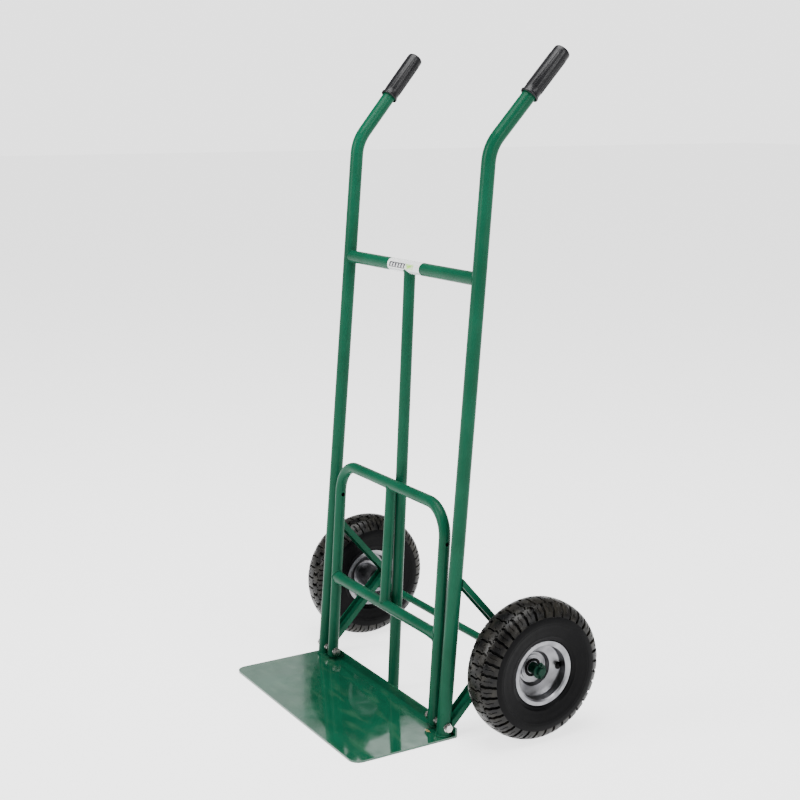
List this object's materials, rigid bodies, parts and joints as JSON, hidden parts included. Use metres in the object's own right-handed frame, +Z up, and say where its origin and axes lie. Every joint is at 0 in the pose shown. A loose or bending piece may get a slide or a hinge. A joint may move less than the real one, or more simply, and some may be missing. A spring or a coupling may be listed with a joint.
{
  "type": "hand truck",
  "caption": "Upright hand truck with bent-back handles, fixed toe plate, folding toe frame and pneumatic wheels on a through axle.",
  "frame": {"origin": "on the floor, under the centre of the bounding box", "axes": "+Z up, the toe plate reaches towards -Y, the handles lean towards +Y, the wheels' axle lies along X, and +X is on the right of someone who stands in front of the toe plate and looks at it"},
  "size_m": [0.692, 0.464, 1.2167],
  "materials": {
    "green_paint": "glossy green enamel",
    "grip_rubber": "ribbed black rubber",
    "label_film": "blank wrapped label",
    "tyre_rubber": "dusty black tyre",
    "tube_rubber": "smooth black butyl",
    "zinc_rim": "bright zinc",
    "zinc_fastener": "zinc plated",
    "bearing_steel": "ground steel",
    "valve_rubber": "black rubber",
    "cap_plastic": "black plastic"
  },
  "bodies": {
    "frame": {"upper_crossbar": "green_paint", "centre_tube": "green_paint", "toe_plate": "green_paint", "axle": "green_paint", "right_upright": "green_paint", "left_upright": "green_paint", "right_upper_brace": "green_paint", "left_upper_brace": "green_paint", "right_lower_brace": "green_paint", "left_lower_brace": "green_paint", "right_outer_spacer": "green_paint", "left_outer_spacer": "green_paint", "right_inner_spacer": "green_paint", "left_inner_spacer": "green_paint", "right_grip": "grip_rubber", "left_grip": "grip_rubber", "crossbar_label": "label_film", "right_axle_washer": "zinc_fastener", "left_axle_washer": "zinc_fastener", "right_cotter_pin": "zinc_fastener", "left_cotter_pin": "zinc_fastener", "right_pivot_bolt": "zinc_fastener", "left_pivot_bolt": "zinc_fastener", "right_pivot_lock_nut": "zinc_fastener", "left_pivot_lock_nut": "zinc_fastener", "right_pivot_end_nut": "zinc_fastener", "left_pivot_end_nut": "zinc_fastener", "right_pivot_washers": "zinc_fastener", "left_pivot_washers": "zinc_fastener"},
    "folding_toe": {"folding_hoop": "green_paint", "folding_mid_rail": "green_paint", "folding_centre_bar": "green_paint"},
    "right_wheel": {"right_tyre": "tyre_rubber", "right_inner_tube": "tube_rubber", "right_rim_outer_half": "zinc_rim", "right_rim_inner_half": "zinc_rim", "right_hub_tube": "zinc_rim", "right_outer_bearing": "bearing_steel", "right_inner_bearing": "bearing_steel", "right_valve_stem": "valve_rubber", "right_valve_cap": "cap_plastic"},
    "left_wheel": {"left_tyre": "tyre_rubber", "left_inner_tube": "tube_rubber", "left_rim_outer_half": "zinc_rim", "left_rim_inner_half": "zinc_rim", "left_hub_tube": "zinc_rim", "left_outer_bearing": "bearing_steel", "left_inner_bearing": "bearing_steel", "left_valve_stem": "valve_rubber", "left_valve_cap": "cap_plastic"}
  },
  "joints": [
    {"name": "toe_fold", "type": "hinge", "parent": "frame", "child": "folding_toe", "pos_m": [0, -0.03723, 0.0215], "axis": [1, 0, 0], "range_deg": [0, 95.2]},
    {"name": "right_wheel_spin", "type": "hinge", "parent": "frame", "child": "right_wheel", "pos_m": [0.306, 0.102, 0.13], "axis": [1, 0, 0], "continuous": true},
    {"name": "left_wheel_spin", "type": "hinge", "parent": "frame", "child": "left_wheel", "pos_m": [-0.306, 0.102, 0.13], "axis": [1, 0, 0], "continuous": true}
  ]
}
